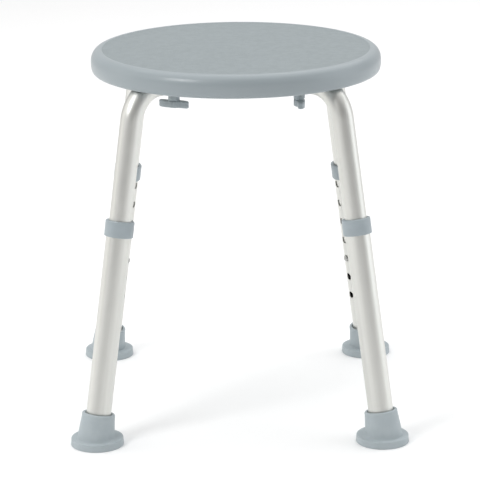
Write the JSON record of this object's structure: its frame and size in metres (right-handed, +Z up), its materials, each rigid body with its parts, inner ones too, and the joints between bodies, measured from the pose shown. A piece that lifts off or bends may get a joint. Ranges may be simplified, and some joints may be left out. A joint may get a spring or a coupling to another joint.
{
  "type": "shower stool",
  "caption": "Round bath and shower stool: hollow plastic seat on two crossed bent aluminium tubes, with telescoping snap-lock legs and rubber-tipped feet.",
  "frame": {"origin": "on the floor, under the centre of the seat", "axes": "+Z up; +X to the right and -Y to the front of the stool, whose four legs stand on the diagonals"},
  "size_m": [0.3896, 0.3896, 0.431],
  "materials": {
    "seat_plastic": "blow-moulded polyethylene, blue-grey, pebbled top and smooth satin rim",
    "tube_aluminium": "clear anodised aluminium tube with a soft satin sheen",
    "grey_plastic": "moulded nylon and polypropylene, grey, satin",
    "grey_rubber": "moulded grey rubber, matt",
    "plated_steel": "zinc plated steel",
    "spring_steel": "nickel plated spring steel",
    "insert_brass": "turned brass"
  },
  "bodies": {
    "root": {"seat_shell": "seat_plastic", "cross_frame_lower": "tube_aluminium", "cross_frame_upper": "tube_aluminium", "threaded_insert_front_left": "insert_brass", "threaded_insert_front_right": "insert_brass", "threaded_insert_back_left": "insert_brass", "threaded_insert_back_right": "insert_brass", "threaded_insert_centre": "insert_brass", "snap_spring_front_left": "spring_steel", "snap_spring_front_right": "spring_steel", "snap_spring_back_left": "spring_steel", "snap_spring_back_right": "spring_steel"},
    "leg_front_left": {"leg_tube_front_left": "tube_aluminium", "leg_collar_front_left": "grey_plastic", "foot_tip_front_left": "grey_rubber", "foot_washer_front_left": "plated_steel"},
    "leg_front_right": {"leg_tube_front_right": "tube_aluminium", "leg_collar_front_right": "grey_plastic", "foot_tip_front_right": "grey_rubber", "foot_washer_front_right": "plated_steel"},
    "leg_back_left": {"leg_tube_back_left": "tube_aluminium", "leg_collar_back_left": "grey_plastic", "foot_tip_back_left": "grey_rubber", "foot_washer_back_left": "plated_steel"},
    "leg_back_right": {"leg_tube_back_right": "tube_aluminium", "leg_collar_back_right": "grey_plastic", "foot_tip_back_right": "grey_rubber", "foot_washer_back_right": "plated_steel"},
    "button_front_left": {"snap_button_front_left": "spring_steel"},
    "button_front_right": {"snap_button_front_right": "spring_steel"},
    "button_back_left": {"snap_button_back_left": "spring_steel"},
    "button_back_right": {"snap_button_back_right": "spring_steel"},
    "clamp_front_left": {"screw_washer_front_left": "plated_steel"},
    "handle_front_left": {"t_handle_front_left": "grey_plastic", "screw_stud_front_left": "plated_steel"},
    "clamp_front_right": {"screw_washer_front_right": "plated_steel"},
    "handle_front_right": {"t_handle_front_right": "grey_plastic", "screw_stud_front_right": "plated_steel"},
    "clamp_back_left": {"screw_washer_back_left": "plated_steel"},
    "handle_back_left": {"t_handle_back_left": "grey_plastic", "screw_stud_back_left": "plated_steel"},
    "clamp_back_right": {"screw_washer_back_right": "plated_steel"},
    "handle_back_right": {"t_handle_back_right": "grey_plastic", "screw_stud_back_right": "plated_steel"},
    "clamp_centre": {"screw_washer_centre": "plated_steel"},
    "handle_centre": {"t_handle_centre": "grey_plastic", "screw_stud_centre": "plated_steel"}
  },
  "joints": [
    {"name": "leg_slide_front_left", "type": "slide", "parent": "root", "child": "leg_front_left", "axis": [-0.1258, -0.1258, -0.984], "range_m": [-0.0508, 0.1016]},
    {"name": "leg_slide_front_right", "type": "slide", "parent": "root", "child": "leg_front_right", "axis": [0.1258, -0.1258, -0.984], "range_m": [-0.0508, 0.1016]},
    {"name": "leg_slide_back_left", "type": "slide", "parent": "root", "child": "leg_back_left", "axis": [-0.1258, 0.1258, -0.984], "range_m": [-0.0508, 0.1016]},
    {"name": "leg_slide_back_right", "type": "slide", "parent": "root", "child": "leg_back_right", "axis": [0.1258, 0.1258, -0.984], "range_m": [-0.0508, 0.1016]},
    {"name": "button_press_front_left", "type": "slide", "parent": "root", "child": "button_front_left", "axis": [-0.8371, -0.5189, 0.1734], "range_m": [0, 0.0046], "stiffness_N_per_m": 800, "springref_m": -0.003, "deforming": ["snap_spring_front_left"]},
    {"name": "button_press_front_right", "type": "slide", "parent": "root", "child": "button_front_right", "axis": [0.8371, -0.5189, 0.1734], "range_m": [0, 0.0046], "stiffness_N_per_m": 800, "springref_m": -0.003, "deforming": ["snap_spring_front_right"]},
    {"name": "button_press_back_left", "type": "slide", "parent": "root", "child": "button_back_left", "axis": [-0.8371, 0.5189, 0.1734], "range_m": [0, 0.0046], "stiffness_N_per_m": 800, "springref_m": -0.003, "deforming": ["snap_spring_back_left"]},
    {"name": "button_press_back_right", "type": "slide", "parent": "root", "child": "button_back_right", "axis": [0.8371, 0.5189, 0.1734], "range_m": [0, 0.0046], "stiffness_N_per_m": 800, "springref_m": -0.003, "deforming": ["snap_spring_back_right"]},
    {"name": "handle_travel_front_left", "type": "slide", "parent": "root", "child": "clamp_front_left", "axis": [0, 0, -1], "range_m": [0, 0.003]},
    {"name": "handle_turn_front_left", "type": "hinge", "parent": "clamp_front_left", "child": "handle_front_left", "pos_m": [-0.072, -0.072, 0.38], "axis": [0, 0, -1], "range_deg": [0, 1080]},
    {"name": "handle_travel_front_right", "type": "slide", "parent": "root", "child": "clamp_front_right", "axis": [0, 0, -1], "range_m": [0, 0.003]},
    {"name": "handle_turn_front_right", "type": "hinge", "parent": "clamp_front_right", "child": "handle_front_right", "pos_m": [0.072, -0.072, 0.38], "axis": [0, 0, -1], "range_deg": [0, 1080]},
    {"name": "handle_travel_back_left", "type": "slide", "parent": "root", "child": "clamp_back_left", "axis": [0, 0, -1], "range_m": [0, 0.003]},
    {"name": "handle_turn_back_left", "type": "hinge", "parent": "clamp_back_left", "child": "handle_back_left", "pos_m": [-0.072, 0.072, 0.38], "axis": [0, 0, -1], "range_deg": [0, 1080]},
    {"name": "handle_travel_back_right", "type": "slide", "parent": "root", "child": "clamp_back_right", "axis": [0, 0, -1], "range_m": [0, 0.003]},
    {"name": "handle_turn_back_right", "type": "hinge", "parent": "clamp_back_right", "child": "handle_back_right", "pos_m": [0.072, 0.072, 0.38], "axis": [0, 0, -1], "range_deg": [0, 1080]},
    {"name": "handle_travel_centre", "type": "slide", "parent": "root", "child": "clamp_centre", "axis": [0, 0, -1], "range_m": [0, 0.003]},
    {"name": "handle_turn_centre", "type": "hinge", "parent": "clamp_centre", "child": "handle_centre", "pos_m": [0, 0, 0.38], "axis": [0, 0, -1], "range_deg": [0, 1080]}
  ],
  "couplings": [
    {"joint": "handle_turn_front_left", "follows": "handle_travel_front_left", "rad_per_m": 6283.2},
    {"joint": "handle_turn_front_right", "follows": "handle_travel_front_right", "rad_per_m": 6283.2},
    {"joint": "handle_turn_back_left", "follows": "handle_travel_back_left", "rad_per_m": 6283.2},
    {"joint": "handle_turn_back_right", "follows": "handle_travel_back_right", "rad_per_m": 6283.2},
    {"joint": "handle_turn_centre", "follows": "handle_travel_centre", "rad_per_m": 6283.2}
  ]
}
